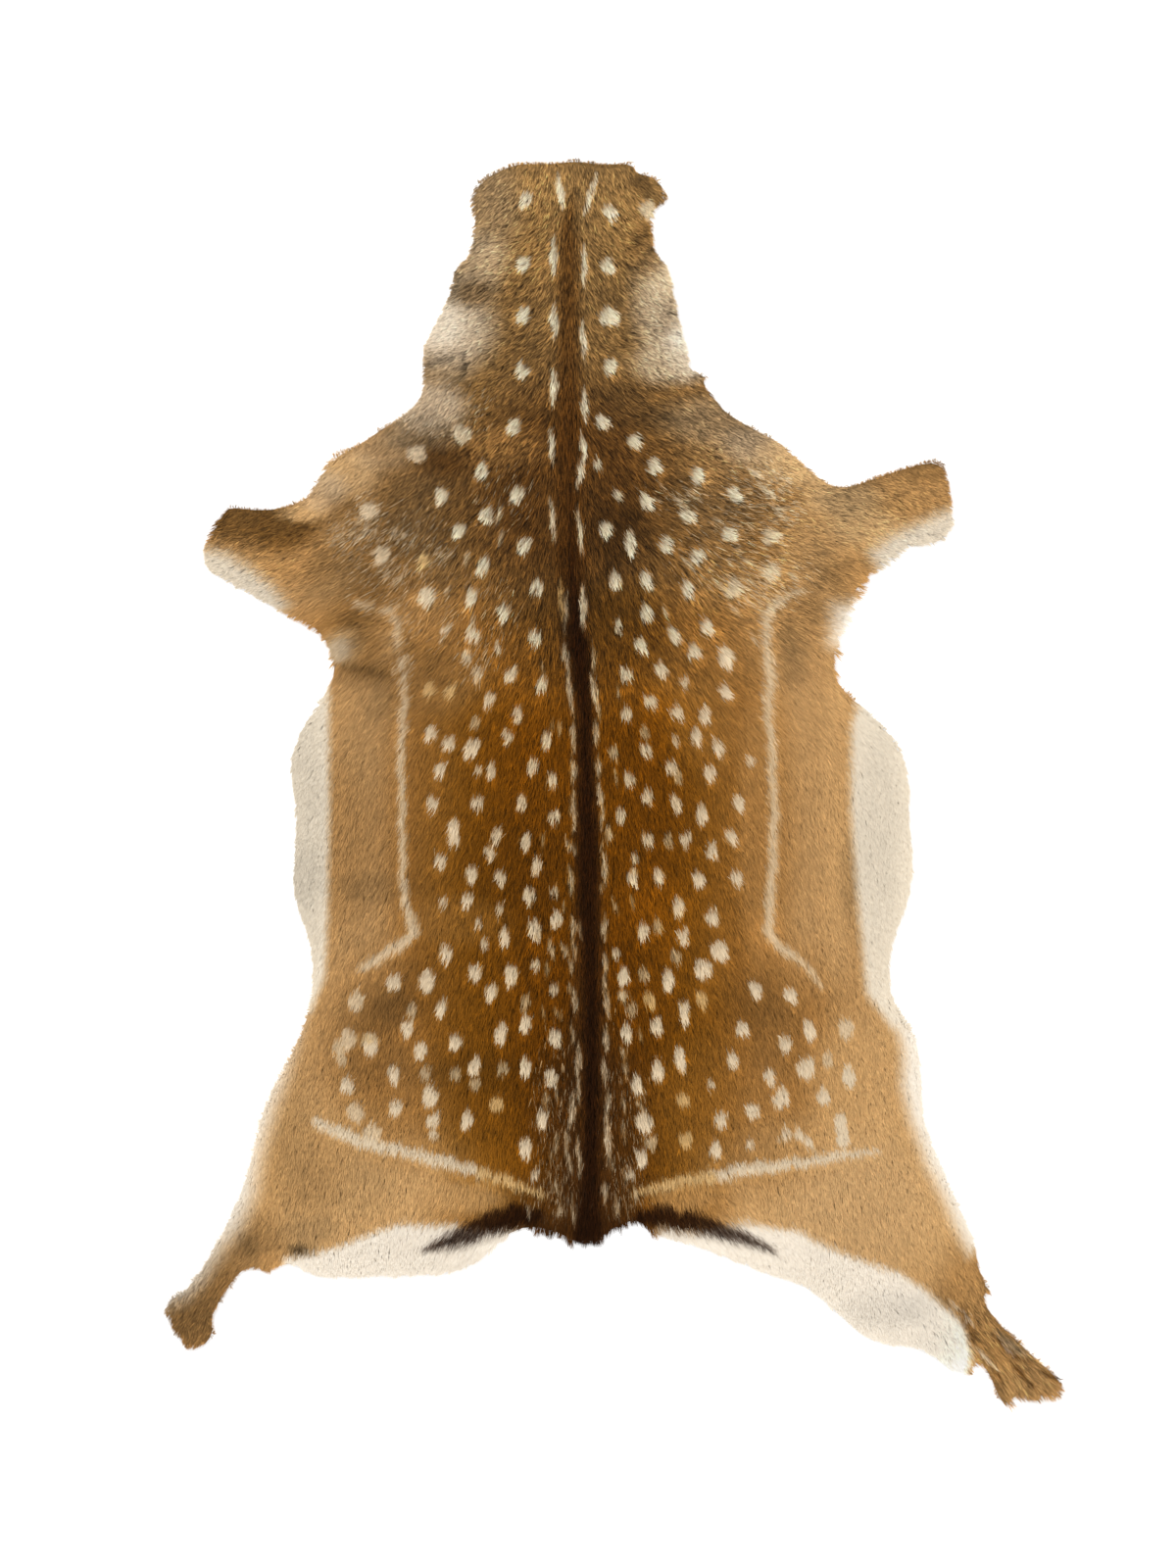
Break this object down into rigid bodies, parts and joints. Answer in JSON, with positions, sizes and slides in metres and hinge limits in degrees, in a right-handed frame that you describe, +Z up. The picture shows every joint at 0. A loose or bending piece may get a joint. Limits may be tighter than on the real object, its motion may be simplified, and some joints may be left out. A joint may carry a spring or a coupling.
{
  "type": "spotted deer hide",
  "caption": "Flat spotted deer hide with the hair on, opened out with neck, forelegs, flanks, hind legs and rump, for use as a small rug or throw.",
  "frame": {"origin": "on the floor, under the middle of the hide's bounding box", "axes": "+Y towards the neck, +X to the right as seen from above with the neck away, +Z up out of the hair"},
  "size_m": [0.8256, 1.1504, 0.0124],
  "materials": {
    "hair_on_hide": "short glossy hair combed tailwards, brown with cream spots and stripes, a black back stripe and pale belly edges",
    "flesh_side": "matte tanned suede, cream"
  },
  "bodies": {
    "root": {"hide": "hair_on_hide"}
  },
  "joints": []
}
